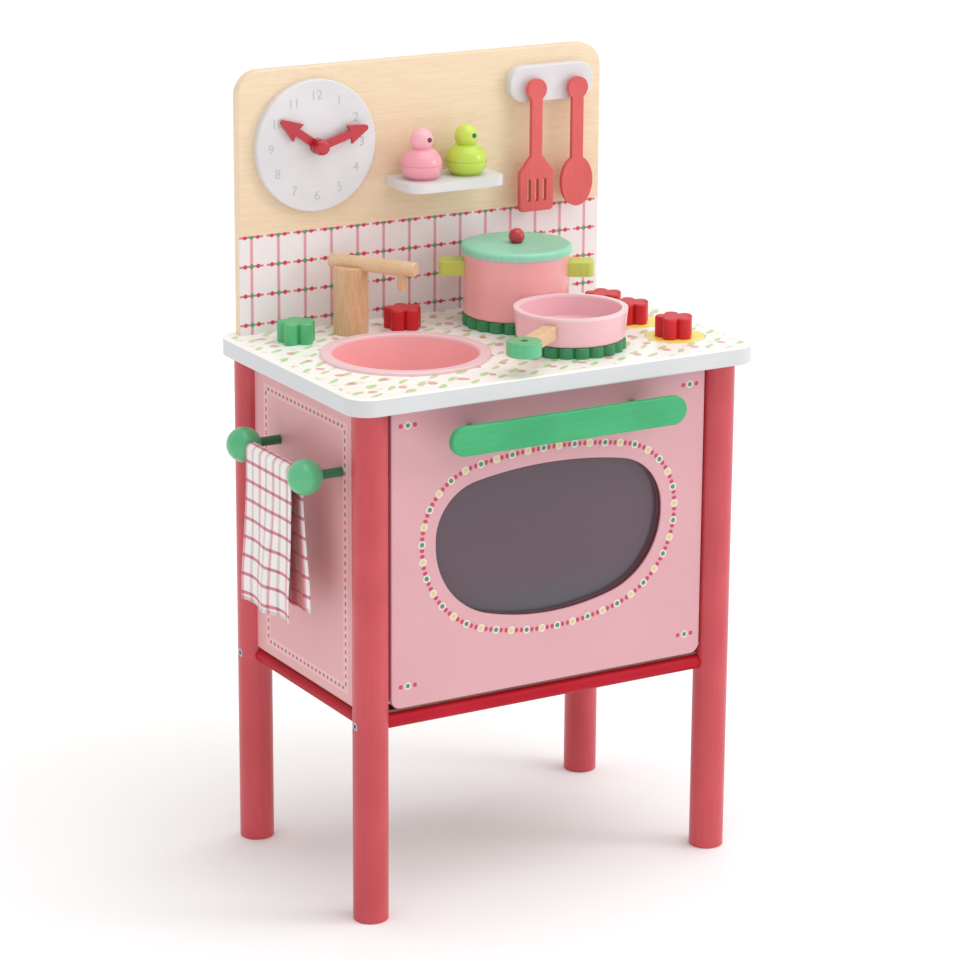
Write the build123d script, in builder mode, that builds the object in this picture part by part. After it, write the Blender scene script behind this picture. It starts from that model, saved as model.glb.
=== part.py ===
"""Wooden play kitchen: oven cabinet, worktop with sink and hob, back board, pans and utensils.

Millimetres, +Z up, +X to the right, the front towards -Y. The origin is on the floor, under the
middle of the whole outline, from the towel rack to the worktop and from the oven handle to the back.
"""
import os
from math import atan2, cos, degrees, radians, sin, sqrt

from build123d import *

os.makedirs("parts", exist_ok=True)

# Room in the fits, on the radius of round ones
glue_gap = 0.1
run_gap = 0.08
stand_gap = 0.2
edge_ease = 1.2
drop_gap = 1.0

# Legs
leg_d = 35.0
leg_h = 516.5
leg_span_x = 393.5
leg_span_y = 249.0
spigot_d = 12.0
spigot_l = 12.0
groove_depth = 5.0

# Rails and their screws
rail_d = 15.0
rail_z = 202.0
rail_seat = 5.0
screw_d = 5.0
screw_l = 45.0
screw_head_d = 9.5
screw_head_l = 3.5
screw_sink = 4.0
screw_key = 4.0

# Cabinet panels
side_t = 9.0
side_reach = 5.0
back_t = 6.0
floor_t = 2.5
floor_overlap = 3.0

# Worktop
top_t = 18.0
top_side = 31.0
top_front = 31.0
top_back = 20.5
top_corner_r = 25.0
top_edge_r = 2.0

# Back board
board_w = 418.0
board_h = 265.5
board_t = 11.0
board_setback = 1.25
board_corner_r = 25.0
board_edge_r = 1.5
tenon_w = 50.0
tenon_offset = 120.0

# Oven door
door_t = 10.0
door_front = 7.0
door_side_gap = 1.75
door_floor_gap = 2.25
door_top_gap = 3.0
door_corner_r = 10.0
door_edge_r = 1.2
hinge_up = 7.7
hinge_pin_d = 5.0
hinge_pin_in = 12.0
hinge_pin_hold = 20.0

# Oven window
window_drop = 0.9
window_w = 257.0
window_up = 76.5
window_down = 77.0
window_top_r = 450.0
window_top_corner_r = 56.0
window_bottom_r = 260.0
window_bottom_corner_r = 80.0
pane_t = 2.0
pane_lap = 8.0

# Door handle
handle_w = 264.5
handle_h = 29.0
handle_t = 8.0
handle_drop = 29.0
handle_edge_r = 1.5
handle_post_d = 12.0
handle_post_l = 30.0
handle_post_span = 184.0
handle_dowel_d = 8.0
handle_dowel_l = 5.0

# Magnetic catch
catch_w = 30.0
catch_h = 16.0
catch_d = 14.0
catch_gap = 0.4
plate_w = 24.0
plate_h = 10.0
plate_t = 1.2

# Towel rack and towel
towel_ball_d = 35.0
towel_ball_out = 44.0
towel_rod_d = 9.5
towel_drop = 72.5
towel_front = 48.0
towel_span = 131.0
post_seat = 6.0
ball_seat = 9.0
cloth_t = 2.4
cloth_gap = 0.3
cloth_side_gap = 0.8
cloth_straight = 49.0
cloth_outer_drop = 152.0
cloth_inner_drop = 139.0
cloth_wave = 3.5
cloth_first_wave = 0.02
cloth_outer_lean = -1.0
cloth_inner_lean = 3.0
cloth_outer_ends = (13.0, 5.0)
cloth_inner_ends = (-9.0, -10.0)

# Sink
sink_in = 96.0
sink_tap_gap = 3.6
sink_lip_w = 8.0
sink_rim_t = 3.5
sink_bowl_d = 152.0
sink_wall = 3.5
sink_depth = 46.0
sink_taper = 9.0
sink_round_r = 14.0

# Tap
tap_in = 91.6
tap_off_back = 39.9
tap_d = 35.0
tap_h = 69.0
tap_dowel_d = 12.0
tap_dowel_l = 16.0
spout_d = 15.0
spout_z = 72.0
spout_turn = -56.1
spout_tail = 23.0
spout_reach = 72.6
outlet_d = 9.0
outlet_at = 57.5
outlet_z = 49.5

# Star knobs
knob_d = 39.0
knob_h = 21.0
knob_lobes = 5
knob_lobe_r = 7.4
knob_core_r = 12.5
knob_dowel_d = 8.0
green_knob_in = 27.3
green_knob_off_back = 46.0
red_knob_in = 148.0
red_knob_off_back = 45.0
hob_knob_back_in = 32.5
hob_knob_back_off_back = 86.0
hob_knob_middle_in = 30.0
hob_knob_middle_off_back = 134.0
hob_knob_front_in = 24.9
hob_knob_front_off_front = 41.6

# Hob
hob_back_in = 135.0
hob_front_in = 138.0
lid_board_gap = 24.25
hob_gap = 1.0
burner_d = 110.0
burner_h = 11.0
burner_lobes = 20
burner_lobe_r = 9.0
burner_core_r = 49.5
burner_dowel_d = 10.0
burner_dowel_l = 8.0

# Pot
pot_d = 107.4
pot_h = 64.0
pot_wall = 6.0
pot_floor = 7.0
pot_ear_turn = -31.0
pot_ear_reach = 78.5
pot_ear_w = 26.0
pot_ear_h = 15.0
pot_ear_drop = 9.0
pot_ear_r = 6.0
pot_ear_dowel_d = 8.0
pot_ear_dowel_l = 4.0
lid_d = 113.0
lid_t = 8.0
lid_edge_r = 4.0
lid_step = 4.0
lid_step_gap = 0.6
lid_ball_d = 16.4
lid_ball_sink = 1.6
lid_pin_d = 6.0

# Pan
pan_low_d = 108.0
pan_d = 113.4
pan_h = 29.5
pan_wall = 6.0
pan_floor = 7.0
pan_turn = -142.4
pan_bar_w = 14.0
pan_bar_h = 13.5
pan_bar_z = 16.0
pan_dowel_d = 8.0
pan_dowel_l = 4.5
pan_end_at = 124.5
pan_end_d = 34.5
pan_end_h = 14.5
pan_end_hole_d = 8.0

# Clock
clock_in = 70.3
clock_z = 186.7
clock_d = 132.8
clock_t = 8.0
clock_edge_r = 1.5
hand_t = 4.0
hand_gap = 0.5
hand_bar_w = 8.0
hand_eye_r = 8.0
hand_head_w = 20.0
hand_barb = 3.0
hand_tip_r = 3.0
hour_l = 50.7
hour_head = 24.0
hour_turn = 145.0
minute_l = 56.8
minute_head = 23.0
minute_turn = 17.0
spindle_d = 6.0
spindle_seat = 6.0
spindle_cap_d = 15.0
spindle_cap_t = 6.5

# Shelf
shelf_w = 109.0
shelf_depth = 58.75
shelf_t = 9.5
shelf_z = 147.5
shelf_offset = 9.75
shelf_corner_r = 14.0
shelf_dowel_d = 6.0
shelf_dowel_l = 6.0
shelf_dowel_span = 70.0

# Shakers
shaker_d = 42.4
shaker_h = 51.0
shaker_head_d = 24.0
shaker_belly_z = 14.0
shaker_belly_up = 19.0
shaker_pink_at = -29.0
shaker_green_at = 22.5
shaker_out = 29.0

# Utensils and their rail
hook_w = 98.7
hook_h = 37.3
hook_t = 11.0
hook_r = 17.0
hook_in = 52.6
hook_z = 229.1
peg_d = 6.0
peg_seat = 6.0
peg_bite = 3.5
utensil_t = 5.0
utensil_gap = 5.75
utensil_head_r = 11.5
utensil_bar_w = 13.0
utensil_edge_r = 1.0
spatula_in = 76.2
spatula_z = 224.6
spatula_l = 137.5
spatula_w = 40.0
spatula_blade_l = 41.0
spatula_shoulder = 17.0
slot_w = 4.6
slot_l = 24.0
slot_pitch = 9.2
slot_up = 10.0
spoon_in = 27.5
spoon_z = 223.1
spoon_l = 135.0
spoon_w = 37.0
spoon_bowl_l = 52.0


# Lines that the pieces share
towel_reach = towel_ball_out + towel_ball_d / 2
handle_reach = door_front + handle_post_l + handle_t
middle_x = (towel_reach - top_side) / 2
middle_y = (handle_reach - top_back) / 2
left_x = middle_x - leg_span_x / 2
right_x = middle_x + leg_span_x / 2
front_y = middle_y - leg_span_y / 2
back_y = middle_y + leg_span_y / 2
top_z = leg_h + top_t
board_y = back_y - board_setback
rail_end = leg_d / 2 - rail_seat
groove_at = leg_d / 2 - groove_depth
floor_z = rail_z + rail_d / 2 + glue_gap / 2
panel_z = floor_z + floor_t
side_inset = side_reach - side_t / 2
door_y = front_y - door_front
door_back_y = door_y + door_t
door_w = leg_span_x - leg_d - 2 * door_side_gap
door_z = panel_z + door_floor_gap
door_top = leg_h - door_top_gap
hinge_y = door_y + door_t / 2
hinge_z = door_z + hinge_up
window_z = (door_z + door_top) / 2 - window_drop
handle_z = door_top - handle_drop
towel_x = left_x - towel_ball_out
towel_z = leg_h - towel_drop
post_ys = (front_y + towel_front, front_y + towel_front + towel_span)
tap_at = (left_x + tap_in, back_y - tap_off_back)
sink_rim_d = sink_bowl_d + 2 * sink_lip_w
sink_at = (left_x + sink_in, tap_at[1] - tap_d / 2 - sink_tap_gap - sink_rim_d / 2)
green_tap_at = (left_x + green_knob_in, back_y - green_knob_off_back)
red_tap_at = (left_x + red_knob_in, back_y - red_knob_off_back)
hob_knobs_at = {
    "hob_knob_back": (right_x - hob_knob_back_in, back_y - hob_knob_back_off_back),
    "hob_knob_middle": (right_x - hob_knob_middle_in, back_y - hob_knob_middle_off_back),
    "hob_knob_front": (right_x - hob_knob_front_in, front_y + hob_knob_front_off_front),
}
hob_back_at = (right_x - hob_back_in, board_y - lid_d / 2 - lid_board_gap)
hob_front_at = (right_x - hob_front_in, hob_back_at[1] - burner_d - hob_gap)
hob_z = top_z + burner_h
pot_rim_z = hob_z + pot_h
clock_at = (left_x + clock_in, top_z + clock_z)
hook_at = (right_x - hook_in, top_z + hook_z)
spatula_at = (right_x - spatula_in, top_z + spatula_z)
spoon_at = (right_x - spoon_in, top_z + spoon_z)
hook_face_y = board_y - hook_t
utensil_y = hook_face_y - utensil_gap
shelf_x = middle_x + shelf_offset
shelf_top = top_z + shelf_z


def front(y):
    """Upright plane seen from the front, at depth y: local x is X and local y is Z."""
    return Plane.XZ.offset(-y)


def side(x):
    """Upright plane seen from the right, at x: local x is Y and local y is Z."""
    return Plane.YZ.offset(x)


def level(z):
    """Flat plane at height z."""
    return Plane.XY.offset(z)


def upright(at, z):
    """Plane through a standing axis, for a profile that is revolved about it."""
    return Plane(origin=(at[0], at[1], z), x_dir=(1, 0, 0), z_dir=(0, -1, 0))


def along(at, z, turn):
    """Plane square to a level direction, which is turned about Z from +X."""
    return Plane(origin=(at[0], at[1], z), x_dir=(-sin(radians(turn)), cos(radians(turn)), 0),
                 z_dir=(cos(radians(turn)), sin(radians(turn)), 0))


def save(name, piece):
    """Labels a finished piece and writes it out."""
    piece.part.label = name
    export_step(piece.part, f"parts/{name}.step")


# Legs: turned posts with panel grooves, rail sockets and a spigot for the worktop
def leg(x, y, in_x, in_y):
    """in_x and in_y are +1 or -1, towards the middle of the cabinet."""
    with BuildPart() as piece:
        with BuildSketch(level(0)):
            with Locations((x, y)):
                Circle(leg_d / 2)
        extrude(amount=leg_h)
        chamfer(piece.edges().group_by(Axis.Z)[0], edge_ease)
        with BuildSketch(level(leg_h)):
            with Locations((x, y)):
                Circle(spigot_d / 2)
        extrude(amount=spigot_l)
        with BuildSketch(side(x + in_x * rail_end)):
            with Locations((y, rail_z)):
                Circle(rail_d / 2 + glue_gap)
        extrude(amount=in_x * leg_d, mode=Mode.SUBTRACT)
        with BuildSketch(front(y + in_y * rail_end)):
            with Locations((x, rail_z)):
                Circle(rail_d / 2 + glue_gap)
        extrude(amount=-in_y * leg_d, mode=Mode.SUBTRACT)
        with BuildSketch(level(panel_z - glue_gap)):
            with Locations((x - in_x * side_inset, y + in_y * (groove_at + leg_d / 2))):
                Rectangle(side_t + 2 * glue_gap, leg_d)
        extrude(amount=leg_h - panel_z + glue_gap, mode=Mode.SUBTRACT)
        with BuildSketch(side(x - in_x * leg_d)):
            with Locations((y, rail_z)):
                Circle(screw_d / 2 + glue_gap)
        extrude(amount=in_x * 2 * leg_d, mode=Mode.SUBTRACT)
        with BuildSketch(side(x - in_x * (leg_d / 2 - screw_sink))):
            with Locations((y, rail_z)):
                Circle(screw_head_d / 2 + glue_gap)
        extrude(amount=-in_x * leg_d, mode=Mode.SUBTRACT)
        if in_y > 0:
            with BuildSketch(side(x + in_x * (leg_d / 2 - hinge_pin_in))):
                with Locations((hinge_y, hinge_z)):
                    Circle(hinge_pin_d / 2 + run_gap)
            extrude(amount=in_x * leg_d, mode=Mode.SUBTRACT)
        else:
            with BuildSketch(level(panel_z - glue_gap)):
                with Locations((x + in_x * (groove_at + leg_d / 2), y)):
                    Rectangle(leg_d, back_t + 2 * glue_gap)
            extrude(amount=leg_h - panel_z + glue_gap, mode=Mode.SUBTRACT)
    return piece


save("leg_front_left", leg(left_x, front_y, 1, 1))
save("leg_front_right", leg(right_x, front_y, -1, 1))
save("leg_back_left", leg(left_x, back_y, 1, -1))
save("leg_back_right", leg(right_x, back_y, -1, -1))


# Rails: round bars between the legs, the long ones drilled for the screws
pilot = screw_l - (leg_d / 2 - screw_sink + rail_end) + glue_gap


def long_rail(y):
    with BuildPart() as piece:
        with BuildSketch(side(left_x + rail_end)):
            with Locations((y, rail_z)):
                Circle(rail_d / 2)
        extrude(amount=leg_span_x - 2 * rail_end)
        for x, way in ((left_x + rail_end, 1), (right_x - rail_end, -1)):
            with BuildSketch(side(x)):
                with Locations((y, rail_z)):
                    Circle(screw_d / 2 + glue_gap)
            extrude(amount=way * pilot, mode=Mode.SUBTRACT)
    return piece


def short_rail(x):
    with BuildPart() as piece:
        with BuildSketch(front(front_y + rail_end)):
            with Locations((x, rail_z)):
                Circle(rail_d / 2)
        extrude(amount=-(leg_span_y - 2 * rail_end))
    return piece


save("rail_front", long_rail(front_y))
save("rail_back", long_rail(back_y))
save("rail_left", short_rail(left_x))
save("rail_right", short_rail(right_x))

# Rail screws: sunk heads with a hexagon socket, one in each leg
with BuildPart() as rail_screws:
    for x, way in ((left_x, 1), (right_x, -1)):
        for y in (front_y, back_y):
            with BuildSketch(side(x - way * (leg_d / 2 - screw_sink))):
                with Locations((y, rail_z)):
                    Circle(screw_head_d / 2)
            extrude(amount=-way * screw_head_l)
            with BuildSketch(side(x - way * (leg_d / 2 - screw_sink))):
                with Locations((y, rail_z)):
                    Circle(screw_d / 2)
            extrude(amount=way * screw_l)
            with BuildSketch(side(x - way * (leg_d / 2 - screw_sink + screw_head_l))):
                with Locations((y, rail_z)):
                    RegularPolygon(screw_key / 2, 6, major_radius=False)
            extrude(amount=way * screw_head_l / 2, mode=Mode.SUBTRACT)
save("rail_screws", rail_screws)


# Cabinet panels in the grooves of the legs
def side_panel(x, way):
    """way is +1 for the left panel and -1 for the right one, towards the middle."""
    depth = leg_span_y - 2 * groove_at - 2 * glue_gap
    with BuildPart() as piece:
        with BuildSketch(level(panel_z)):
            with Locations((x - way * side_inset, middle_y)):
                Rectangle(side_t, depth)
        extrude(amount=leg_h - panel_z)
        if way > 0:
            with BuildSketch(side(x - side_reach + post_seat)):
                with Locations(*[(y, towel_z) for y in post_ys]):
                    Circle(towel_rod_d / 2 + glue_gap)
            extrude(amount=-post_seat, mode=Mode.SUBTRACT)
    return piece


save("side_panel_left", side_panel(left_x, 1))
save("side_panel_right", side_panel(right_x, -1))

with BuildPart() as cabinet_back:
    with BuildSketch(level(panel_z)):
        with Locations((middle_x, back_y)):
            Rectangle(leg_span_x - 2 * groove_at - 2 * glue_gap, back_t)
    extrude(amount=leg_h - panel_z)
save("cabinet_back", cabinet_back)

# Oven floor: a thin board on the rails, held down by the panels and cut out round the legs
with BuildPart() as oven_floor:
    floor_depth = leg_span_y + floor_overlap
    with BuildSketch(level(floor_z)):
        with Locations((middle_x, front_y + floor_depth / 2)):
            Rectangle(leg_span_x + 2 * floor_overlap, floor_depth)
        with Locations((middle_x, middle_y)):
            with GridLocations(leg_span_x, leg_span_y, 2, 2):
                Circle(leg_d / 2 + stand_gap, mode=Mode.SUBTRACT)
    extrude(amount=floor_t)
save("oven_floor", oven_floor)

# Worktop: rounded board with the sink cut-out and the holes of all that stands on it
with BuildPart() as worktop:
    with BuildSketch(level(leg_h)):
        with Locations((middle_x, middle_y + (top_back - top_front) / 2)):
            RectangleRounded(leg_span_x + 2 * top_side, leg_span_y + top_front + top_back, top_corner_r)
    extrude(amount=top_t)
    top_edges = worktop.faces().sort_by(Axis.Z)[-1].edges()
    under_edges = worktop.faces().sort_by(Axis.Z)[0].edges()
    fillet(top_edges + under_edges, top_edge_r)
    with BuildSketch(level(top_z)):
        with Locations(sink_at):
            Circle(sink_bowl_d / 2 + drop_gap)
        with Locations(tap_at):
            Circle(tap_dowel_d / 2 + run_gap)
        with Locations(green_tap_at, red_tap_at, *hob_knobs_at.values()):
            Circle(knob_dowel_d / 2 + run_gap)
        with Locations((middle_x, board_y + board_t / 2)):
            with GridLocations(2 * tenon_offset, 0, 2, 1):
                Rectangle(tenon_w + 2 * glue_gap, board_t + 2 * glue_gap)
    extrude(amount=-top_t, mode=Mode.SUBTRACT)
    with BuildSketch(level(leg_h)):
        with Locations((middle_x, middle_y)):
            with GridLocations(leg_span_x, leg_span_y, 2, 2):
                Circle(spigot_d / 2 + glue_gap)
    extrude(amount=spigot_l + stand_gap, mode=Mode.SUBTRACT)
    with BuildSketch(level(top_z)):
        with Locations(hob_back_at, hob_front_at):
            Circle(burner_dowel_d / 2 + glue_gap)
    extrude(amount=-(burner_dowel_l + stand_gap), mode=Mode.SUBTRACT)
save("worktop", worktop)

# Back board: rounded top corners, two tenons through the worktop, blind holes for the shelf
with BuildPart() as back_board:
    with BuildSketch(front(board_y)):
        with Locations((middle_x, top_z + board_h / 2)):
            outline = Rectangle(board_w, board_h)
        fillet(outline.vertices().group_by(Axis.Y)[-1], board_corner_r)
    extrude(amount=-board_t)
    fillet(back_board.edges().filter_by(Plane.XZ).group_by(Axis.Y)[0].filter_by(
        lambda e: e.center().Z > top_z + board_edge_r), board_edge_r)
    with BuildSketch(level(leg_h)):
        with Locations((middle_x, board_y + board_t / 2)):
            with GridLocations(2 * tenon_offset, 0, 2, 1):
                Rectangle(tenon_w, board_t)
    extrude(amount=top_t)
    with BuildSketch(front(board_y)):
        with Locations((shelf_x, shelf_top - shelf_t / 2)):
            with GridLocations(shelf_dowel_span, 0, 2, 1):
                Circle(shelf_dowel_d / 2 + glue_gap)
    extrude(amount=-(shelf_dowel_l + stand_gap), mode=Mode.SUBTRACT)
save("back_board", back_board)

# Shelf with rounded front corners and two dowels
with BuildPart() as shelf:
    with BuildSketch(level(shelf_top - shelf_t)):
        with Locations((shelf_x, board_y - shelf_depth / 2)):
            board = Rectangle(shelf_w, shelf_depth)
        fillet(board.vertices().group_by(Axis.Y)[0], shelf_corner_r)
    extrude(amount=shelf_t)
    with BuildSketch(front(board_y)):
        with Locations((shelf_x, shelf_top - shelf_t / 2)):
            with GridLocations(shelf_dowel_span, 0, 2, 1):
                Circle(shelf_dowel_d / 2)
    extrude(amount=-shelf_dowel_l)
save("shelf", shelf)

# Hook rail and its two pegs
with BuildPart() as hook_rail:
    with BuildSketch(front(board_y)):
        with Locations(hook_at):
            RectangleRounded(hook_w, hook_h, hook_r)
    extrude(amount=hook_t)
    fillet(hook_rail.faces().sort_by(Axis.Y)[0].edges(), board_edge_r)
    with BuildSketch(front(hook_face_y)):
        with Locations(spatula_at, spoon_at):
            Circle(peg_d / 2 + glue_gap)
    extrude(amount=-(peg_seat + stand_gap), mode=Mode.SUBTRACT)
save("hook_rail", hook_rail)

with BuildPart() as utensil_pegs:
    with BuildSketch(front(hook_face_y + peg_seat)):
        with Locations(spatula_at, spoon_at):
            Circle(peg_d / 2)
    extrude(amount=peg_seat + utensil_gap + peg_bite)
save("utensil_pegs", utensil_pegs)

# Spatula: eye, straight handle, flared blade with three slots
with BuildPart() as spatula:
    foot_z = spatula_at[1] + utensil_head_r - spatula_l
    blade_top = foot_z + spatula_blade_l
    with BuildSketch(front(utensil_y)):
        with Locations(spatula_at):
            Circle(utensil_head_r)
        with Locations((spatula_at[0], (spatula_at[1] + foot_z) / 2)):
            Rectangle(utensil_bar_w, spatula_at[1] - foot_z)
        with BuildLine():
            x = spatula_at[0]
            Polyline((x - spatula_w / 2, foot_z), (x + spatula_w / 2, foot_z),
                     (x + spatula_w / 2, blade_top), (x + utensil_bar_w / 2, blade_top + spatula_shoulder),
                     (x - utensil_bar_w / 2, blade_top + spatula_shoulder), (x - spatula_w / 2, blade_top),
                     close=True)
        make_face()
        with Locations((x, foot_z + slot_up + slot_l / 2)):
            with GridLocations(slot_pitch, 0, 3, 1):
                SlotOverall(slot_l, slot_w, rotation=90, mode=Mode.SUBTRACT)
    extrude(amount=utensil_t)
    fillet(spatula.edges().filter_by(Axis.Y).group_by(Axis.X)[0]
           + spatula.edges().filter_by(Axis.Y).group_by(Axis.X)[-1], slot_w)
    fillet(spatula.faces().sort_by(Axis.Y)[0].outer_wire().edges(), utensil_edge_r)
    with BuildSketch(front(utensil_y)):
        with Locations(spatula_at):
            Circle(peg_d / 2 + run_gap)
    extrude(amount=peg_bite + stand_gap, mode=Mode.SUBTRACT)
save("spatula", spatula)

# Spoon: eye, straight handle, oval bowl
with BuildPart() as spoon:
    bowl_z = spoon_at[1] + utensil_head_r - spoon_l + spoon_bowl_l / 2
    with BuildSketch(front(utensil_y)):
        with Locations(spoon_at):
            Circle(utensil_head_r)
        with Locations((spoon_at[0], (spoon_at[1] + bowl_z) / 2)):
            Rectangle(utensil_bar_w, spoon_at[1] - bowl_z)
        with Locations((spoon_at[0], bowl_z)):
            Ellipse(spoon_w / 2, spoon_bowl_l / 2)
    extrude(amount=utensil_t)
    with BuildSketch(front(utensil_y)):
        with Locations(spoon_at):
            Circle(peg_d / 2 + run_gap)
    extrude(amount=peg_bite + stand_gap, mode=Mode.SUBTRACT)
save("spoon", spoon)

# Clock: round face, spindle with a domed cap, and two hands that turn on it
with BuildPart() as clock_face:
    with BuildSketch(front(board_y)):
        with Locations(clock_at):
            Circle(clock_d / 2)
    extrude(amount=clock_t)
    fillet(clock_face.faces().sort_by(Axis.Y)[0].edges(), clock_edge_r)
    with BuildSketch(front(board_y - clock_t)):
        with Locations(clock_at):
            Circle(spindle_d / 2 + glue_gap)
    extrude(amount=-(spindle_seat + stand_gap), mode=Mode.SUBTRACT)
save("clock_face", clock_face)

hour_y = board_y - clock_t - hand_gap
minute_y = hour_y - hand_t - hand_gap
cap_y = minute_y - hand_t - hand_gap

with BuildPart() as clock_spindle:
    with BuildSketch(front(board_y - clock_t + spindle_seat)):
        with Locations(clock_at):
            Circle(spindle_d / 2)
    extrude(amount=board_y - clock_t + spindle_seat - cap_y)
    with BuildSketch(front(cap_y)):
        with Locations(clock_at):
            Circle(spindle_cap_d / 2)
    extrude(amount=spindle_cap_t)
    fillet(clock_spindle.faces().sort_by(Axis.Y)[0].edges(), spindle_cap_t / 2)
save("clock_spindle", clock_spindle)


def clock_hand(y, length, head, turn):
    """A bar from the eye to a pointed head, drawn along the hand and turned to its hour."""
    plane = Plane(origin=(clock_at[0], y, clock_at[1]),
                  x_dir=(cos(radians(turn)), 0, sin(radians(turn))), z_dir=(0, -1, 0))
    neck = length - head
    point = length + hand_tip_r * (sqrt(1 + (2 * head / hand_head_w) ** 2) - 1)
    with BuildPart() as piece:
        with BuildSketch(plane):
            Circle(hand_eye_r)
            with Locations((neck / 2 + hand_bar_w / 2, 0)):
                Rectangle(neck + hand_bar_w, hand_bar_w)
            with BuildLine():
                Polyline((neck, -hand_head_w / 2), (point, 0), (neck, hand_head_w / 2),
                         (neck + hand_barb, 0), close=True)
            arrow = make_face()
            fillet(arrow.vertices().sort_by(Axis.X)[-1], hand_tip_r)
            Circle(spindle_d / 2 + run_gap, mode=Mode.SUBTRACT)
        extrude(amount=hand_t)
    return piece


save("hour_hand", clock_hand(hour_y, hour_l, hour_head, hour_turn))
save("minute_hand", clock_hand(minute_y, minute_l, minute_head, minute_turn))


# Oven window outline: crowned top and bottom run into rounded corners, with short straight sides
def window_lines(grow):
    half = window_w / 2 + grow
    corner_zs = []
    for sign, crown, corner, rise in ((1, window_top_r, window_top_corner_r, window_up),
                                      (-1, window_bottom_r, window_bottom_corner_r, window_down)):
        inset = window_w / 2 - corner
        up = sqrt((crown - corner) ** 2 - inset ** 2)
        corner_z = window_z + sign * (rise - crown + up)
        corner_zs.append(corner_z)
        start = sign * degrees(atan2(up, inset))
        CenterArc((middle_x, window_z + sign * (rise - crown)), crown + grow, start, 2 * (sign * 90 - start))
        CenterArc((middle_x + inset, corner_z), corner + grow, 0, start)
        CenterArc((middle_x - inset, corner_z), corner + grow, 180, -start)
    for x in (middle_x - half, middle_x + half):
        Line((x, corner_zs[0]), (x, corner_zs[1]))


# Oven door: rounded panel with the window, a rebate for the pane, and the holes of its fittings
with BuildPart() as oven_door:
    with BuildSketch(front(door_y)):
        with Locations((middle_x, (door_z + door_top) / 2)):
            panel = Rectangle(door_w, door_top - door_z)
        fillet(panel.vertices().group_by(Axis.Y)[0], door_corner_r)
        with BuildLine():
            window_lines(0)
        make_face(mode=Mode.SUBTRACT)
    extrude(amount=-door_t)
    fillet(oven_door.faces().sort_by(Axis.Y)[0].edges(), door_edge_r)
    with BuildSketch(front(door_back_y)):
        with BuildLine():
            window_lines(pane_lap)
        make_face()
    extrude(amount=pane_t, mode=Mode.SUBTRACT)
    with BuildSketch(front(door_y)):
        with Locations((middle_x, handle_z)):
            with GridLocations(handle_post_span, 0, 2, 1):
                Circle(handle_dowel_d / 2 + glue_gap)
    extrude(amount=-(handle_dowel_l + stand_gap), mode=Mode.SUBTRACT)
    for way in (-1, 1):
        with BuildSketch(side(middle_x + way * door_w / 2)):
            with Locations((hinge_y, hinge_z)):
                Circle(hinge_pin_d / 2 + glue_gap)
        extrude(amount=-way * (hinge_pin_hold + stand_gap), mode=Mode.SUBTRACT)
save("oven_door", oven_door)

with BuildPart() as door_window:
    with BuildSketch(front(door_back_y)):
        with BuildLine():
            window_lines(pane_lap - stand_gap)
        make_face()
    extrude(amount=pane_t)
save("door_window", door_window)


def hinge_pin(way):
    """way is -1 at the left edge of the door and +1 at the right one."""
    edge = middle_x + way * door_w / 2
    reach = door_side_gap + hinge_pin_in - stand_gap
    with BuildPart() as piece:
        with BuildSketch(side(edge - way * hinge_pin_hold)):
            with Locations((hinge_y, hinge_z)):
                Circle(hinge_pin_d / 2)
        extrude(amount=way * (hinge_pin_hold + reach))
    return piece


save("hinge_pin_left", hinge_pin(-1))
save("hinge_pin_right", hinge_pin(1))

# Door handle: a flat bar with round ends on two doweled posts
handle_y = door_y - handle_post_l
with BuildPart() as door_handle:
    with BuildSketch(front(handle_y)):
        with Locations((middle_x, handle_z)):
            SlotOverall(handle_w, handle_h)
    extrude(amount=handle_t)
    fillet(door_handle.edges().filter_by(Plane.XZ), handle_edge_r)
    with BuildSketch(front(handle_y)):
        with Locations((middle_x, handle_z)):
            with GridLocations(handle_post_span, 0, 2, 1):
                Circle(handle_dowel_d / 2 + glue_gap)
    extrude(amount=handle_dowel_l + stand_gap, mode=Mode.SUBTRACT)
save("door_handle", door_handle)


def handle_post(way):
    with BuildPart() as piece:
        with BuildSketch(front(door_y)):
            with Locations((middle_x + way * handle_post_span / 2, handle_z)):
                Circle(handle_post_d / 2)
        extrude(amount=handle_post_l)
        with BuildSketch(front(door_y + handle_dowel_l)):
            with Locations((middle_x + way * handle_post_span / 2, handle_z)):
                Circle(handle_dowel_d / 2)
        extrude(amount=handle_post_l + 2 * handle_dowel_l)
    return piece


save("handle_post_left", handle_post(-1))
save("handle_post_right", handle_post(1))

# Magnetic catch under the worktop and its plate on the door
with BuildPart() as catch_plate:
    with BuildSketch(front(door_back_y)):
        with Locations((middle_x, door_top - plate_h / 2 - door_edge_r)):
            RectangleRounded(plate_w, plate_h, 2 * plate_t)
    extrude(amount=-plate_t)
save("catch_plate", catch_plate)

with BuildPart() as magnetic_catch:
    catch_y = door_back_y + plate_t + catch_gap
    with BuildSketch(level(leg_h - catch_h)):
        with Locations((middle_x, catch_y + catch_d / 2)):
            RectangleRounded(catch_w, catch_d, plate_t)
    extrude(amount=catch_h)
save("magnetic_catch", magnetic_catch)


# Towel rack: two posts with ball ends and a rod between the balls
def towel_post(y):
    with BuildPart() as piece:
        with BuildSketch(side(left_x - side_reach + post_seat - glue_gap)):
            with Locations((y, towel_z)):
                Circle(towel_rod_d / 2)
        start = left_x - side_reach + post_seat - glue_gap
        extrude(amount=-(start - (towel_x + towel_ball_d / 2 - ball_seat)))
    return piece


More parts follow.
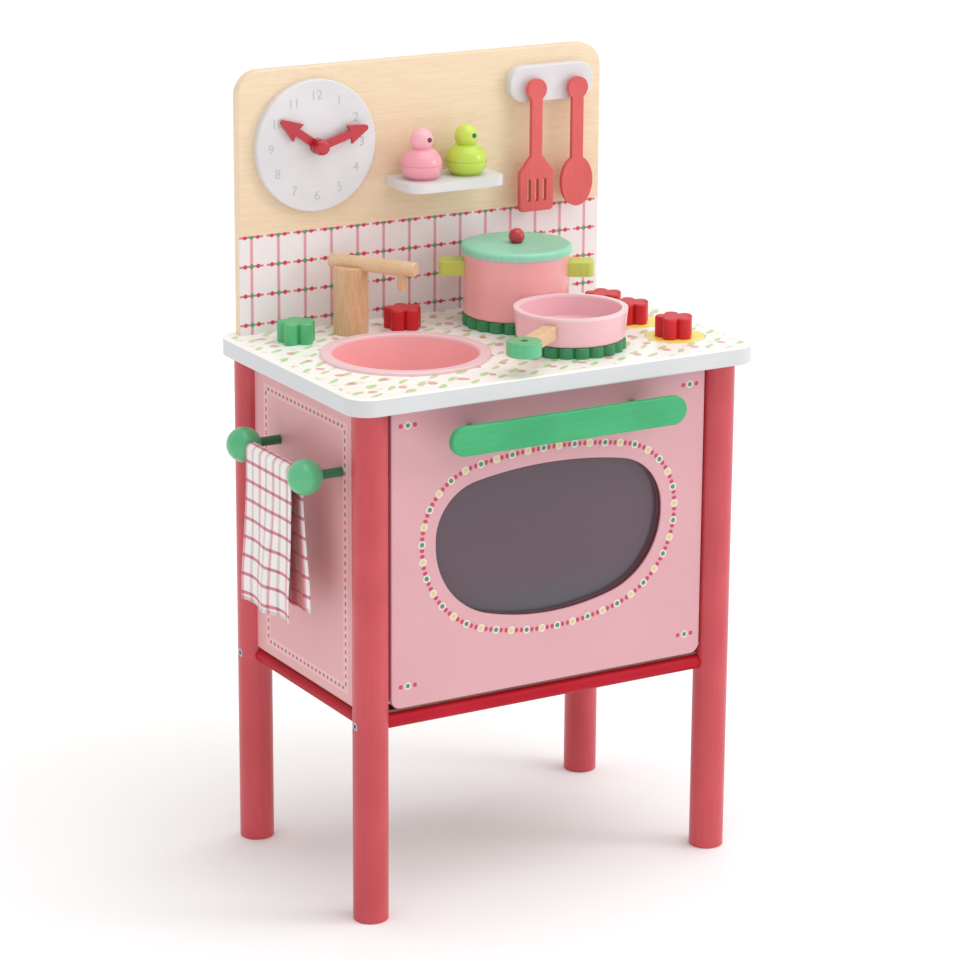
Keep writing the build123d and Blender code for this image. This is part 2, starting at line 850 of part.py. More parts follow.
def towel_ball(y, way):
    """way points along Y to the other ball."""
    with BuildPart() as piece:
        with Locations((towel_x, y, towel_z)):
            Sphere(towel_ball_d / 2)
        with BuildSketch(side(towel_x + towel_ball_d / 2 - ball_seat - stand_gap)):
            with Locations((y, towel_z)):
                Circle(towel_rod_d / 2 + glue_gap)
        extrude(amount=towel_ball_d, mode=Mode.SUBTRACT)
        with BuildSketch(front(y + way * (towel_ball_d / 2 - ball_seat - stand_gap))):
            with Locations((towel_x, towel_z)):
                Circle(towel_rod_d / 2 + glue_gap)
        extrude(amount=-way * towel_ball_d, mode=Mode.SUBTRACT)
    return piece


save("towel_post_front", towel_post(post_ys[0]))
save("towel_post_back", towel_post(post_ys[1]))
save("towel_ball_front", towel_ball(post_ys[0], 1))
save("towel_ball_back", towel_ball(post_ys[1], -1))

with BuildPart() as towel_rod:
    with BuildSketch(front(post_ys[0] + towel_ball_d / 2 - ball_seat)):
        with Locations((towel_x, towel_z)):
            Circle(towel_rod_d / 2)
    extrude(amount=-(towel_span - towel_ball_d + 2 * ball_seat))
save("towel_rod", towel_rod)


# Towel: a cloth over the rod, its two layers straight at the top and waved at the hem
def cloth_section(x, y0, y1, wave):
    """Closed outline of one layer: three bows along each face, joined by short ends."""
    step = (y1 - y0) / 3
    for face_x in (x, x + cloth_t):
        for i in range(3):
            bow = wave if i % 2 else -wave
            a = (face_x, y0 + i * step)
            b = (face_x, y0 + (i + 1) * step)
            ThreePointArc(a, (face_x + bow, y0 + (i + 0.5) * step), b)
    for y in (y0, y1):
        Line((x, y), (x + cloth_t, y))


cloth_in_r = towel_rod_d / 2 + cloth_gap
cloth_y0 = post_ys[0] + towel_ball_d / 2 + cloth_side_gap
cloth_y1 = post_ys[1] - towel_ball_d / 2 - cloth_side_gap
with BuildPart() as towel:
    with BuildSketch(front(cloth_y0)):
        with Locations((towel_x, towel_z)):
            Circle(cloth_in_r + cloth_t)
            Circle(cloth_in_r, mode=Mode.SUBTRACT)
        with Locations((towel_x, towel_z - towel_ball_d / 2)):
            Rectangle(towel_ball_d, towel_ball_d, mode=Mode.SUBTRACT)
    extrude(amount=-(cloth_y1 - cloth_y0))
    for layer_x, drop, lean, ends, wave in (
            (towel_x - cloth_in_r - cloth_t, cloth_outer_drop, cloth_outer_lean, cloth_outer_ends, cloth_wave),
            (towel_x + cloth_in_r, cloth_inner_drop, cloth_inner_lean, cloth_inner_ends, -cloth_wave)):
        with BuildSketch(level(towel_z - cloth_straight)):
            with Locations((layer_x + cloth_t / 2, (cloth_y0 + cloth_y1) / 2)):
                Rectangle(cloth_t, cloth_y1 - cloth_y0)
        extrude(amount=cloth_straight)
        with BuildSketch(level(towel_z - cloth_straight)):
            with BuildLine():
                cloth_section(layer_x, cloth_y0, cloth_y1, cloth_first_wave * wave)
            make_face()
        with BuildSketch(level(towel_z - drop)):
            with BuildLine():
                cloth_section(layer_x + lean, cloth_y0 + ends[0], cloth_y1 + ends[1], wave)
            make_face()
        loft(ruled=True)
save("towel", towel)

# Sink: a turned bowl that hangs in its cut-out by the rim
with BuildPart() as sink_bowl:
    with BuildSketch(upright(sink_at, top_z)):
        with BuildLine():
            outer = sink_bowl_d / 2
            Polyline((0, -sink_depth), (outer - sink_taper, -sink_depth), (outer, 0),
                     (sink_rim_d / 2, 0), (sink_rim_d / 2, sink_rim_t), (outer - sink_wall, sink_rim_t),
                     (outer - sink_wall - sink_taper, sink_wall - sink_depth), (0, sink_wall - sink_depth),
                     close=True)
        bowl = make_face()
        corners = bowl.vertices().filter_by(lambda v: v.X > 1 and v.Y < -sink_depth / 2)
        fillet(corners.sort_by(Axis.Y)[0], sink_round_r + sink_wall)
        fillet(corners.sort_by(Axis.Y)[1], sink_round_r)
    revolve(axis=Axis((*sink_at, 0), (0, 0, 1)))
    fillet(sink_bowl.faces().sort_by(Axis.Z)[-1].edges(), sink_rim_t / 2 - stand_gap)
save("sink_bowl", sink_bowl)

# Tap: a turned column with a saddle for the round spout, and a short outlet peg
with BuildPart() as tap_column:
    with BuildSketch(level(top_z + stand_gap)):
        with Locations(tap_at):
            Circle(tap_d / 2)
    extrude(amount=tap_h - stand_gap)
    chamfer(tap_column.edges().group_by(Axis.Z)[-1], edge_ease)
    with BuildSketch(level(top_z + stand_gap)):
        with Locations(tap_at):
            Circle(tap_dowel_d / 2)
    extrude(amount=-(tap_dowel_l + stand_gap))
    with BuildSketch(along(tap_at, top_z + spout_z, spout_turn).offset(-tap_d)):
        Circle(spout_d / 2 + glue_gap)
    extrude(amount=2 * tap_d, mode=Mode.SUBTRACT)
save("tap_column", tap_column)

outlet_x = tap_at[0] + outlet_at * cos(radians(spout_turn))
outlet_y = tap_at[1] + outlet_at * sin(radians(spout_turn))
with BuildPart() as tap_spout:
    with BuildSketch(along(tap_at, top_z + spout_z, spout_turn).offset(-spout_tail)):
        Circle(spout_d / 2)
    extrude(amount=spout_tail + spout_reach)
    chamfer(tap_spout.edges().filter_by(GeomType.CIRCLE), edge_ease)
    with BuildSketch(level(top_z + spout_z)):
        with Locations((outlet_x, outlet_y)):
            Circle(outlet_d / 2 + glue_gap)
    extrude(amount=-spout_d, mode=Mode.SUBTRACT)
save("tap_spout", tap_spout)

with BuildPart() as tap_outlet:
    with BuildSketch(level(top_z + outlet_z)):
        with Locations((outlet_x, outlet_y)):
            Circle(outlet_d / 2)
    extrude(amount=spout_z - outlet_z - glue_gap)
save("tap_outlet", tap_outlet)


# Star knobs on dowels through the worktop
def lobed(at, count, lobe_r, out_r, core_r):
    """Round core with a ring of round lobes."""
    with Locations(at):
        Circle(core_r)
        with PolarLocations(out_r - lobe_r, count):
            Circle(lobe_r)


def knob(at):
    with BuildPart() as piece:
        with BuildSketch(level(top_z + stand_gap)):
            lobed(at, knob_lobes, knob_lobe_r, knob_d / 2, knob_core_r)
        extrude(amount=knob_h - stand_gap)
        chamfer(piece.faces().sort_by(Axis.Z)[-1].edges(), edge_ease)
        with BuildSketch(level(top_z + stand_gap)):
            with Locations(at):
                Circle(knob_dowel_d / 2)
        extrude(amount=-(top_t + stand_gap))
    return piece


save("tap_knob_green", knob(green_tap_at))
save("tap_knob_red", knob(red_tap_at))
for name, at in hob_knobs_at.items():
    save(name, knob(at))


# Burners: scalloped discs doweled into the worktop
def burner(at):
    with BuildPart() as piece:
        with BuildSketch(level(top_z)):
            lobed(at, burner_lobes, burner_lobe_r, burner_d / 2, burner_core_r)
        extrude(amount=burner_h)
        chamfer(piece.faces().sort_by(Axis.Z)[-1].edges(), edge_ease)
        with BuildSketch(level(top_z)):
            with Locations(at):
                Circle(burner_dowel_d / 2)
        extrude(amount=-burner_dowel_l)
    return piece


save("burner_back", burner(hob_back_at))
save("burner_front", burner(hob_front_at))

# Pot: turned body, two doweled ears, and a lid with a ball
with BuildPart() as pot_body:
    with BuildSketch(upright(hob_back_at, hob_z)):
        with BuildLine():
            outer = pot_d / 2
            Polyline((0, 0), (outer, 0), (outer, pot_h), (outer - pot_wall, pot_h),
                     (outer - pot_wall, pot_floor), (0, pot_floor), close=True)
        cup = make_face()
        fillet(cup.vertices().filter_by(lambda v: v.X > 1 and v.Y < pot_h / 2), pot_wall / 2)
    revolve(axis=Axis((*hob_back_at, 0), (0, 0, 1)))
    ear_z = pot_rim_z - pot_ear_drop - pot_ear_h / 2
    for turn in (pot_ear_turn, pot_ear_turn + 180):
        with BuildSketch(along(hob_back_at, ear_z, turn).offset(pot_d / 2 - pot_ear_dowel_l - stand_gap)):
            Circle(pot_ear_dowel_d / 2 + glue_gap)
        extrude(amount=pot_wall, mode=Mode.SUBTRACT)
save("pot_body", pot_body)


def pot_ear(turn):
    """A block coped to the round pot, with rounded outer corners and a dowel into the wall."""
    plane = Plane(origin=(*hob_back_at, ear_z - pot_ear_h / 2),
                  x_dir=(cos(radians(turn)), sin(radians(turn)), 0), z_dir=(0, 0, 1))
    with BuildPart() as piece:
        with BuildSketch(plane):
            with Locations((pot_ear_reach / 2, 0)):
                block = Rectangle(pot_ear_reach, pot_ear_w)
            fillet(block.vertices().group_by(Axis.X)[-1], pot_ear_r)
            Circle(pot_d / 2 + glue_gap, mode=Mode.SUBTRACT)
        extrude(amount=pot_ear_h)
        fillet(piece.edges().group_by(Axis.Z)[-1].filter_by(
            lambda e: (e.center().X - plane.origin.X) ** 2
            + (e.center().Y - plane.origin.Y) ** 2 > (pot_d / 2 + pot_ear_r / 2) ** 2), edge_ease)
        with BuildSketch(along(hob_back_at, ear_z, turn).offset(pot_d / 2 - pot_ear_dowel_l)):
            Circle(pot_ear_dowel_d / 2)
        extrude(amount=pot_ear_dowel_l + pot_wall)
    return piece


save("pot_ear_right", pot_ear(pot_ear_turn))
save("pot_ear_left", pot_ear(pot_ear_turn + 180))

with BuildPart() as pot_lid:
    step_r = pot_d / 2 - pot_wall - lid_step_gap
    with BuildSketch(upright(hob_back_at, pot_rim_z)):
        with BuildLine():
            Polyline((0, -lid_step), (step_r, -lid_step), (step_r, 0), (lid_d / 2, 0),
                     (lid_d / 2, lid_t), (0, lid_t), close=True)
        disc = make_face()
        fillet(disc.vertices().filter_by(lambda v: v.X > step_r + 1 and v.Y > lid_t / 2), lid_edge_r)
    revolve(axis=Axis((*hob_back_at, 0), (0, 0, 1)))
    with BuildSketch(level(pot_rim_z + lid_t)):
        with Locations(hob_back_at):
            Circle(lid_pin_d / 2 + glue_gap)
    extrude(amount=-lid_t, mode=Mode.SUBTRACT)
save("pot_lid", pot_lid)

with BuildPart() as lid_ball:
    ball_z = pot_rim_z + lid_t + lid_ball_d / 2 - lid_ball_sink
    with Locations((*hob_back_at, ball_z)):
        Sphere(lid_ball_d / 2)
    with BuildSketch(level(pot_rim_z + lid_t)):
        with Locations(hob_back_at):
            Circle(lid_ball_d)
    extrude(amount=-lid_ball_sink, mode=Mode.SUBTRACT)
    with BuildSketch(level(pot_rim_z + glue_gap)):
        with Locations(hob_back_at):
            Circle(lid_pin_d / 2)
    extrude(amount=lid_t + lid_ball_d / 2)
save("lid_ball", lid_ball)

# Pan: flared turned dish with a square handle bar and a round end to hang it by
pan_bar_start = pan_d / 2
with BuildPart() as pan_body:
    with BuildSketch(upright(hob_front_at, hob_z)):
        with BuildLine():
            low = pan_low_d / 2
            rim = pan_d / 2
            Polyline((0, 0), (low, 0), (rim, pan_h), (rim - pan_wall, pan_h),
                     (low - pan_wall, pan_floor), (0, pan_floor), close=True)
        dish = make_face()
        fillet(dish.vertices().filter_by(lambda v: v.X > 1 and v.Y < pan_h / 2), pan_wall / 2)
    revolve(axis=Axis((*hob_front_at, 0), (0, 0, 1)))
    with BuildSketch(along(hob_front_at, hob_z + pan_bar_z, pan_turn).offset(pan_low_d / 2 - pan_dowel_l)):
        Circle(pan_dowel_d / 2 + glue_gap)
    extrude(amount=pan_wall + pan_dowel_l, mode=Mode.SUBTRACT)
save("pan_body", pan_body)

with BuildPart() as pan_handle:
    pan_end_start = pan_end_at - pan_end_d / 2
    with BuildSketch(along(hob_front_at, hob_z + pan_bar_z, pan_turn).offset(pan_bar_start)):
        Rectangle(pan_bar_w, pan_bar_h)
    extrude(amount=pan_end_start - glue_gap - pan_bar_start)
    fillet(pan_handle.edges().filter_by(
        Axis((0, 0, 0), (cos(radians(pan_turn)), sin(radians(pan_turn)), 0))), edge_ease)
    with BuildSketch(along(hob_front_at, hob_z + pan_bar_z, pan_turn).offset(
            pan_low_d / 2 - pan_dowel_l + stand_gap)):
        Circle(pan_dowel_d / 2)
    extrude(amount=pan_end_start + pan_dowel_l - stand_gap - (pan_low_d / 2 - pan_dowel_l + stand_gap))
save("pan_handle", pan_handle)

pan_end_xy = (hob_front_at[0] + pan_end_at * cos(radians(pan_turn)),
              hob_front_at[1] + pan_end_at * sin(radians(pan_turn)))
with BuildPart() as pan_handle_end:
    with BuildSketch(level(hob_z + pan_bar_z - pan_end_h / 2)):
        with Locations(pan_end_xy):
            Circle(pan_end_d / 2)
            Circle(pan_end_hole_d / 2, mode=Mode.SUBTRACT)
    extrude(amount=pan_end_h)
    fillet(pan_handle_end.edges().filter_by(GeomType.CIRCLE).filter_by(
        lambda e: e.radius > pan_end_hole_d), edge_ease)
    with BuildSketch(along(pan_end_xy, hob_z + pan_bar_z, pan_turn).offset(-pan_end_d / 2 - drop_gap)):
        Circle(pan_dowel_d / 2 + glue_gap)
    extrude(amount=pan_dowel_l + drop_gap, mode=Mode.SUBTRACT)
save("pan_handle_end", pan_handle_end)


# Shakers: turned jars with a round belly and a ball for a head
def shaker(x):
    at = (x, board_y - shaker_out)
    with BuildPart() as piece:
        with BuildSketch(upright(at, shelf_top)):
            with Locations((0, shaker_belly_z)):
                Ellipse(shaker_d / 2, shaker_belly_up)
            with Locations((0, shaker_h - shaker_head_d / 2)):
                Circle(shaker_head_d / 2)
            with Locations((-shaker_d / 2, shaker_h / 2)):
                Rectangle(shaker_d, 2 * shaker_h, mode=Mode.SUBTRACT)
            with Locations((0, -shaker_d / 2)):
                Rectangle(2 * shaker_d, shaker_d, mode=Mode.SUBTRACT)
        revolve(axis=Axis((*at, 0), (0, 0, 1)))
    return piece


save("shaker_pink", shaker(shelf_x + shaker_pink_at))
save("shaker_green", shaker(shelf_x + shaker_green_at))
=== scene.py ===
"""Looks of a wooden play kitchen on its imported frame. Metres, +Z up, front towards -Y."""
import math

import bmesh
import bpy
from mathutils import Matrix, Vector, noise


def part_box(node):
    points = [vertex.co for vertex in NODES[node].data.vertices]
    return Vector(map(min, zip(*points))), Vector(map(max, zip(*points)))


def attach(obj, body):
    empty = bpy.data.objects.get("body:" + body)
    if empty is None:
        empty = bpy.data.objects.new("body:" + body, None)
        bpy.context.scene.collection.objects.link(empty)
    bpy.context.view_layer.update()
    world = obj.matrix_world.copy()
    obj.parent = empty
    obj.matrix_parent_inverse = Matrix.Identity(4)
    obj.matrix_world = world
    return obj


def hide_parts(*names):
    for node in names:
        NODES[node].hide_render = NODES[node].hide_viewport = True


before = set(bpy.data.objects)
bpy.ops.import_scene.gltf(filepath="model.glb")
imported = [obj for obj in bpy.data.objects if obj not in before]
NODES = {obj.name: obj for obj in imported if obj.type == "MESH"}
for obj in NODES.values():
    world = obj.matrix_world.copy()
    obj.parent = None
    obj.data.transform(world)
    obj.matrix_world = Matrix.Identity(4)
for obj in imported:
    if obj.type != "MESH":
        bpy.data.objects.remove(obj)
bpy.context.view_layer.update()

# Sockets of the node that mixes colours; several of them share a name
MIX_FACTOR, MIX_A, MIX_B, MIX_COLOR = 0, 6, 7, 2


class Graph:
    """A material with its shader, and short ways to write patterns in the object's own coordinates."""

    def __init__(self, name):
        self.mat = bpy.data.materials.new(name)
        self.mat.use_nodes = True
        self.nt = self.mat.node_tree
        self.bsdf = self.nt.nodes["Principled BSDF"]
        self.x, self.y, self.z = self.split(self.nt.nodes.new("ShaderNodeTexCoord").outputs["Object"])

    def split(self, vector):
        n = self.nt.nodes.new("ShaderNodeSeparateXYZ")
        self.nt.links.new(vector, n.inputs[0])
        return [Val(self, o) for o in n.outputs]

    def put(self, node_input, value):
        if isinstance(value, Val):
            self.nt.links.new(value.out, node_input)
        elif isinstance(value, bpy.types.NodeSocket):
            self.nt.links.new(value, node_input)
        else:
            node_input.default_value = value

    def math(self, op, *args):
        n = self.nt.nodes.new("ShaderNodeMath")
        n.operation = op
        for i, a in enumerate(args):
            self.put(n.inputs[i], a)
        return Val(self, n.outputs[0])

    def vec(self, x, y, z):
        n = self.nt.nodes.new("ShaderNodeCombineXYZ")
        for i, a in enumerate((x, y, z)):
            self.put(n.inputs[i], a)
        return n.outputs[0]

    def noise(self, sx, sy, sz, detail=3.0, rough=0.5, twist=0.0, shift=0.0):
        """Noise with its own number of waves per metre along each axis."""
        n = self.nt.nodes.new("ShaderNodeTexNoise")
        n.inputs["Scale"].default_value = 1.0
        n.inputs["Detail"].default_value = detail
        n.inputs["Roughness"].default_value = rough
        n.inputs["Distortion"].default_value = twist
        place = self.vec(self.x * sx + shift, self.y * sy + shift, self.z * sz + shift)
        self.put(n.inputs["Vector"], place)
        return Val(self, n.outputs["Fac"])

    def cloud(self, scale, detail=2.0, shift=0.0):
        """Noise that is alike in all directions."""
        return self.noise(scale, scale, scale, detail=detail, shift=shift)

    def mix(self, fac, a, b):
        n = self.nt.nodes.new("ShaderNodeMix")
        n.data_type = "RGBA"
        self.put(n.inputs[MIX_FACTOR], fac)
        for sock, v in ((n.inputs[MIX_A], a), (n.inputs[MIX_B], b)):
            self.put(sock, rgb(v) if isinstance(v, tuple) else v)
        return n.outputs[MIX_COLOR]

    def bump(self, height, strength, distance=0.0004):
        n = self.nt.nodes.new("ShaderNodeBump")
        n.inputs["Strength"].default_value = strength
        n.inputs["Distance"].default_value = distance
        self.put(n.inputs["Height"], height)
        self.nt.links.new(n.outputs[0], self.bsdf.inputs["Normal"])

    def finish(self, color, rough, **sockets):
        self.put(self.bsdf.inputs["Base Color"], color)
        self.put(self.bsdf.inputs["Roughness"], rough)
        for k, v in sockets.items():
            self.bsdf.inputs[k.replace("_", " ")].default_value = v
        return self.mat


class Val:
    """One number in a material, with the usual arithmetic."""

    def __init__(self, g, out):
        self.g, self.out = g, out

    def __add__(self, o):
        return self.g.math("ADD", self, o)

    def __sub__(self, o):
        return self.g.math("SUBTRACT", self, o)

    def __rsub__(self, o):
        return self.g.math("SUBTRACT", o, self)

    def __mul__(self, o):
        return self.g.math("MULTIPLY", self, o)

    def __truediv__(self, o):
        return self.g.math("DIVIDE", self, o)

    __radd__, __rmul__ = __add__, __mul__

    def abs(self):
        return self.g.math("ABSOLUTE", self)

    def fract(self):
        return self.g.math("FRACT", self)

    def sin(self):
        return self.g.math("SINE", self)

    def sqrt(self):
        return self.g.math("SQRT", self)

    def max(self, o):
        return self.g.math("MAXIMUM", self, o)

    def min(self, o):
        return self.g.math("MINIMUM", self, o)

    def waves(self, rate):
        """A sine between 0 and 1."""
        return (self * rate).sin() * 0.5 + 0.5

    def cell(self, pitch, shift=0.0):
        """How far the number is from the middle of its cell, in a row of cells one pitch wide."""
        return ((self / pitch + shift).fract() - 0.5) * pitch

    def below(self, edge, soft):
        """1 where the number is below edge, 0 above it, over a soft step."""
        n = self.g.nt.nodes.new("ShaderNodeMapRange")
        n.interpolation_type = "SMOOTHSTEP"
        self.g.put(n.inputs["Value"], self)
        n.inputs["From Min"].default_value = edge - soft
        n.inputs["From Max"].default_value = edge + soft
        n.inputs["To Min"].default_value = 1.0
        n.inputs["To Max"].default_value = 0.0
        return Val(self.g, n.outputs[0])

    def above(self, edge, soft):
        return 1.0 - self.below(edge, soft)


def linear(c):
    return c / 12.92 if c <= 0.04045 else ((c + 0.055) / 1.055) ** 2.4


def rgb(c):
    """A colour as written on a screen, 0 to 255, in the shader's own light."""
    return (*(linear(v / 255) for v in c), 1.0)


def tint(c, k):
    """k below 1 darkens and above 1 lightens."""
    return tuple(v * k if k <= 1 else v + (255 - v) * (k - 1) for v in c)


# Waves per metre of grain that runs along each axis
ALONG = {"x": (10, 150, 150), "y": (150, 10, 150), "z": (150, 150, 10)}


def paint(name, color, axis="z", rough=0.42, grain=0.16, coat=0.25, shine=0.5):
    """Satin paint on wood: the grain shows a little in relief and in tone."""
    g = Graph(name)
    lines = g.noise(*(v * 2.2 for v in ALONG[axis]), detail=4, rough=0.6, twist=0.4)
    tone = g.mix(g.cloud(14).above(0.5, 0.25), tint(color, 0.955), tint(color, 1.05))
    tone = g.mix(lines.above(0.56, 0.12) * grain, tone, tint(color, 0.80))
    g.bump(lines * 0.7 + g.cloud(900) * 0.3, 0.18)
    return g.finish(tone, lines * 0.10 + (rough - 0.05), Coat_Weight=coat, Coat_Roughness=0.28,
                    Specular_IOR_Level=shine)


def wood(name, light, dark, axis="z", size=1.0):
    """Clear wood: long growth lines, fine pores and slow changes of tone."""
    g = Graph(name)
    k = [v * size for v in ALONG[axis]]
    rings = g.noise(*(v * 0.45 for v in k), detail=3, rough=0.55, twist=1.1)
    bands = rings.waves(46.0)
    fibre = g.noise(*(v * 5.0 for v in k), detail=5, rough=0.65)
    slow = g.noise(*(v * 0.12 for v in k), detail=2)
    tone = g.mix(bands * 0.42, light, dark)
    tone = g.mix(fibre.above(0.58, 0.12) * 0.30, tone, tint(dark, 0.86))
    tone = g.mix(slow.above(0.5, 0.2) * 0.28, tone, tint(light, 1.25))
    g.bump(fibre * 0.75 + bands * 0.25, 0.22)
    return g.finish(tone, 0.44 + fibre * 0.14, Coat_Weight=0.12, Coat_Roughness=0.4)


def steel(name):
    g = Graph(name)
    marks = g.cloud(1500)
    g.bump(marks, 0.08, 0.0001)
    return g.finish(g.mix(marks, (150, 152, 156), (192, 194, 198)), 0.26 + marks * 0.14, Metallic=1.0)


LEG_RED, RAIL_RED, KNOB_RED, GLOSS_RED = (203, 62, 72), (184, 10, 34), (208, 26, 36), (190, 20, 36)
HANDLE_GREEN, BALL_GREEN, KNOB_GREEN = (60, 172, 110), (82, 186, 126), (72, 180, 112)
# The posts' green is the balls' green darkened: painted shade.
SHADED_GREEN, LEAF, MINT, LIME = (40, 118, 78), (26, 128, 72), (138, 212, 180), (198, 210, 84)
CORAL, WHITE, PLASTIC = (222, 82, 82), (226, 224, 226), (232, 232, 230)
RED_SPOT, GREEN_SPOT, YELLOW_SPOT = (206, 58, 82), (66, 142, 104), (226, 206, 128)
CREAM_SPOT, NUMBER_GREY = (236, 222, 214), (192, 204, 200)

# Half the width over which the edge of a print fades
CRISP, EDGE, SOFT = 0.0002, 0.0003, 0.0004
# How deep the print on the board and the worktop goes in from its face
SKIN = 0.0012

# How the oven window is cut: its width, how far it sits below the door's middle, and for its upper and
# lower half the side, the crown's and the corners' radius and the rise
WINDOW_W, WINDOW_DROP = 0.257, 0.0009
WINDOW_HALVES = ((1, 0.450, 0.056, 0.0765), (-1, 0.260, 0.080, 0.077))

side_lo, side_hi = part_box("side_panel_left")
top_lo, top_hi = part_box("worktop")
board_lo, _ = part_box("back_board")
door_lo, door_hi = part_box("oven_door")


def span(a, b):
    """The length of a step of a one way and b across it."""
    return (a * a + b * b).sqrt()


def spots(u, v, pitch, radius, shift_u=0.0, shift_v=0.0):
    """Round spots on a square lattice."""
    return span(u.cell(pitch, shift_u), v.cell(pitch, shift_v)).below(radius, SOFT)


def bars(u, pitch, width, shift=0.0):
    """Straight stripes across u."""
    return u.cell(pitch, shift).abs().below(width / 2, EDGE)


def side_panel(name):
    """Pink panel with a border inside its edges: short dashes on a paler band."""
    in_side, in_top, in_foot = 0.0285, 0.0270, 0.0135
    dash_pitch, dash_l, dash_half_w, past_corner = 0.0082, 0.0042, 0.0016, 0.001
    swap_w, band_half_w = 0.0092, 0.0046
    g = Graph(name)
    half_y = (side_hi.y - side_lo.y) / 2 - in_side
    half_z = (side_hi.z - side_lo.z - in_top - in_foot) / 2
    y, z = g.y - (side_lo.y + side_hi.y) / 2, g.z - (side_lo.z + in_foot + half_z)
    ay, az = y.abs() - half_y, z.abs() - half_z

    def dashes(along, across, end):
        row = bars(along, dash_pitch, dash_l) * across.abs().below(dash_half_w, EDGE)
        return row * end.below(past_corner, CRISP)

    marks = dashes(y, az, ay).max(dashes(z, ay, az))
    swap = bars(g.y + g.z, dash_pitch * 3, swap_w)
    cloud = g.cloud(12)
    ground = g.mix(cloud, (222, 162, 164), (230, 172, 173))
    band = ay.max(az).abs().below(band_half_w, EDGE)
    tone = g.mix(band * 0.34, ground, (248, 216, 212))
    tone = g.mix(marks * 0.92, tone, g.mix(swap, (196, 60, 84), (92, 112, 88)))
    g.bump(g.cloud(700, detail=3), 0.10)
    return g.finish(tone, 0.46 + cloud * 0.06, Coat_Weight=0.2, Coat_Roughness=0.3)


def door_print(name):
    """Pink door whose window opening has painted shade on its cut edge."""
    opening_half_w, opening_half_h, opening_soft = 0.1300, 0.0785, 0.0005
    front_skin, back_skin = 0.0014, 0.0023
    g = Graph(name)
    cloud = g.cloud(9)
    fibre = g.noise(60, 60, 340, detail=3)
    tone = g.mix(cloud, (212, 156, 163), (221, 167, 174))
    tone = g.mix(fibre.above(0.6, 0.1) * 0.08, tone, (206, 142, 152))
    # The cut edge of the window opening, inside the door's thickness, is darkened: painted shade.
    across = (g.x - (door_lo.x + door_hi.x) / 2).abs().below(opening_half_w, opening_soft)
    mid_z = (door_lo.z + door_hi.z) / 2 - WINDOW_DROP
    upward = (g.z - mid_z).abs().below(opening_half_h, opening_soft)
    cut = g.y.above(door_lo.y + front_skin, EDGE) * g.y.below(door_hi.y - back_skin, CRISP)
    tone = g.mix(across * upward * cut * 0.9, tone, (96, 26, 44))
    g.bump(fibre * 0.6 + g.cloud(800, detail=3) * 0.4, 0.12)
    return g.finish(tone, 0.40 + cloud * 0.06, Coat_Weight=0.3, Coat_Roughness=0.25)


def board_print(name):
    """Light wood above; below it a white ground with a square check, its crossings marked."""
    light, dark = (240, 217, 186), (228, 198, 158)
    pitch, first_column, top_row, print_h = 0.0298, 0.0130, 0.0996, 0.1010
    across_half_w, up_half_w, beside_out, beside_r, crossing_r = 0.0011, 0.0016, 0.0072, 0.0023, 0.0032
    g = Graph(name)
    rings = g.noise(5, 60, 60, detail=3, rough=0.55, twist=1.2)
    bands = rings.waves(50.0)
    fibre = g.noise(50, 700, 700, detail=5, rough=0.65)
    tone = g.mix(bands * 0.30, light, dark)
    tone = g.mix(fibre.above(0.58, 0.12) * 0.20, tone, tint(dark, 0.92))
    x, z = g.x - (board_lo.x + first_column), (top_hi.z + top_row) - g.z
    du, dv = x.cell(pitch, 0.5), z.cell(pitch, 0.5)
    across = dv.abs().below(across_half_w, EDGE)
    up = du.abs().below(up_half_w, SOFT)
    dash = ((x / pitch * 4.0).fract() - 0.5).abs().below(0.27, 0.03)
    crossing = (du.abs() + dv.abs()).below(crossing_r, SOFT)
    beside = span(du.abs() - beside_out, dv).below(beside_r, SOFT)
    ground = g.mix(g.cloud(20, detail=3), (234, 226, 227), (242, 236, 237))
    grid = g.mix(up * 0.85, ground, (222, 142, 158))
    grid = g.mix(across * dash * 0.95, grid, (222, 110, 128))
    grid = g.mix(beside, grid, RED_SPOT)
    grid = g.mix(crossing, grid, (88, 156, 110))
    tone = g.mix(g.z.below(top_hi.z + print_h, CRISP), tone, grid)
    tone = g.mix(g.y.above(board_lo.y + SKIN, EDGE), tone, g.mix(bands * 0.5, light, dark))
    g.bump(fibre * 0.8 + bands * 0.2, 0.2)
    return g.finish(tone, 0.46 + fibre * 0.10, Coat_Weight=0.15, Coat_Roughness=0.35)


